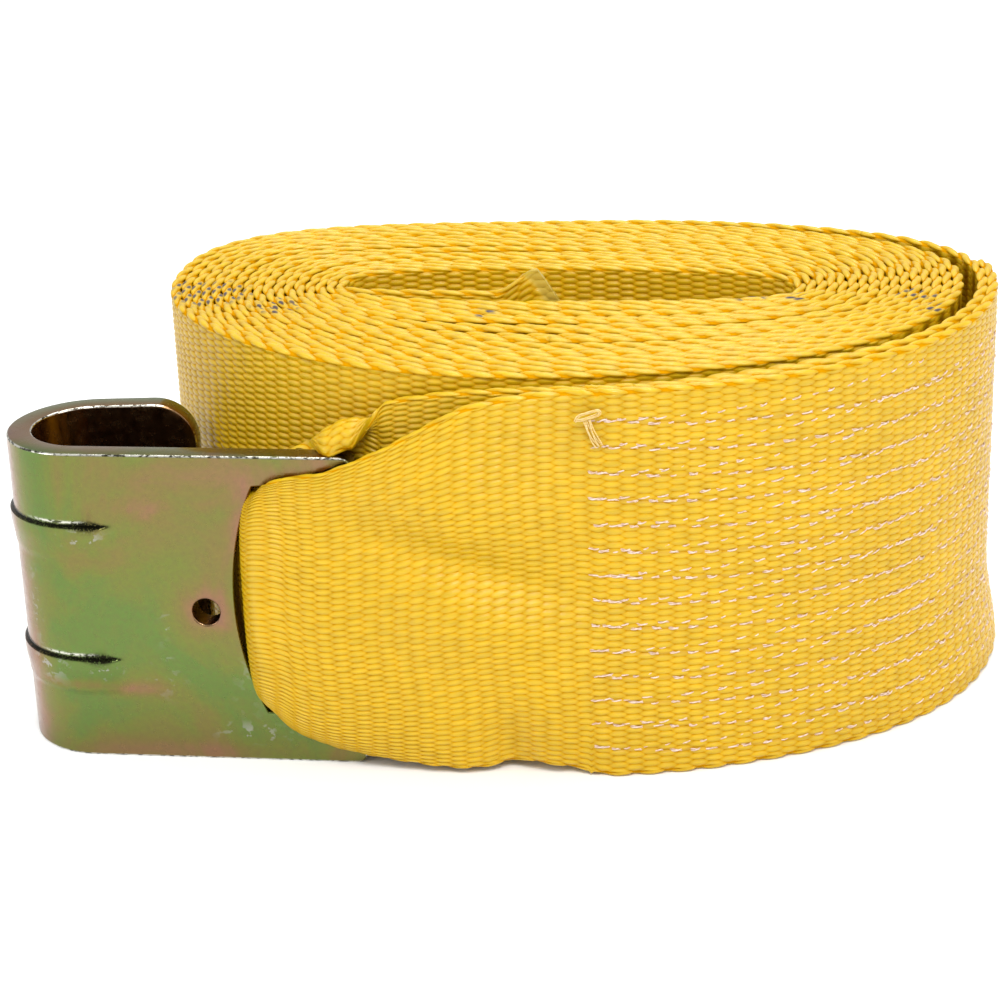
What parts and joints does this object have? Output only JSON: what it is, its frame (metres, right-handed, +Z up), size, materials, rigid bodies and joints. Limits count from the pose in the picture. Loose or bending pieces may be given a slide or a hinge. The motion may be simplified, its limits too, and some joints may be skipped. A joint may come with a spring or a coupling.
{
  "type": "flat hook winch strap",
  "caption": "Rolled wide webbing cargo strap whose sewn end loop holds a bent flat plate hook, stood on its edge for storage.",
  "frame": {"origin": "middle of the whole object's box in X and Y, on the surface it stands on", "axes": "+X along the long way of the roll, away from the hook; +Z up, across the width of the webbing; the seam and the hook are on the -Y side"},
  "size_m": [0.2504, 0.1516, 0.1016],
  "materials": {
    "webbing": "heavy woven polyester webbing",
    "thread": "bonded polyester sewing thread",
    "zinc_plate": "steel plate, iridescent yellow zinc"
  },
  "bodies": {
    "roll": {"webbing_free_end": "webbing", "webbing_turn_01": "webbing", "webbing_turn_02": "webbing", "webbing_turn_03": "webbing", "webbing_turn_04": "webbing", "webbing_turn_05": "webbing", "webbing_turn_06": "webbing", "webbing_turn_07": "webbing", "webbing_turn_08": "webbing", "webbing_turn_09": "webbing", "webbing_turn_10": "webbing", "webbing_turn_11": "webbing", "webbing_turn_12": "webbing", "webbing_turn_13": "webbing", "webbing_turn_14": "webbing", "webbing_turn_15": "webbing", "webbing_turn_16": "webbing", "webbing_turn_17": "webbing", "lap_inner_ply": "webbing", "lap_outer_ply": "webbing", "seam_stitching": "thread"},
    "loop": {"loop_front_ply": "webbing", "loop_rear_ply": "webbing", "loop_eye": "webbing", "seam_thread_tail": "thread"},
    "hook": {"flat_hook": "zinc_plate"}
  },
  "joints": [
    {"name": "loop_swing", "type": "hinge", "parent": "roll", "child": "loop", "pos_m": [0.0268, -0.07267, 0.0508], "axis": [0, 0, 1], "range_deg": [0, 75]},
    {"name": "hook_pivot", "type": "hinge", "parent": "loop", "child": "hook", "pos_m": [-0.04322, -0.06549, 0.04125], "axis": [0, 0, 1], "range_deg": [0, 6]}
  ]
}
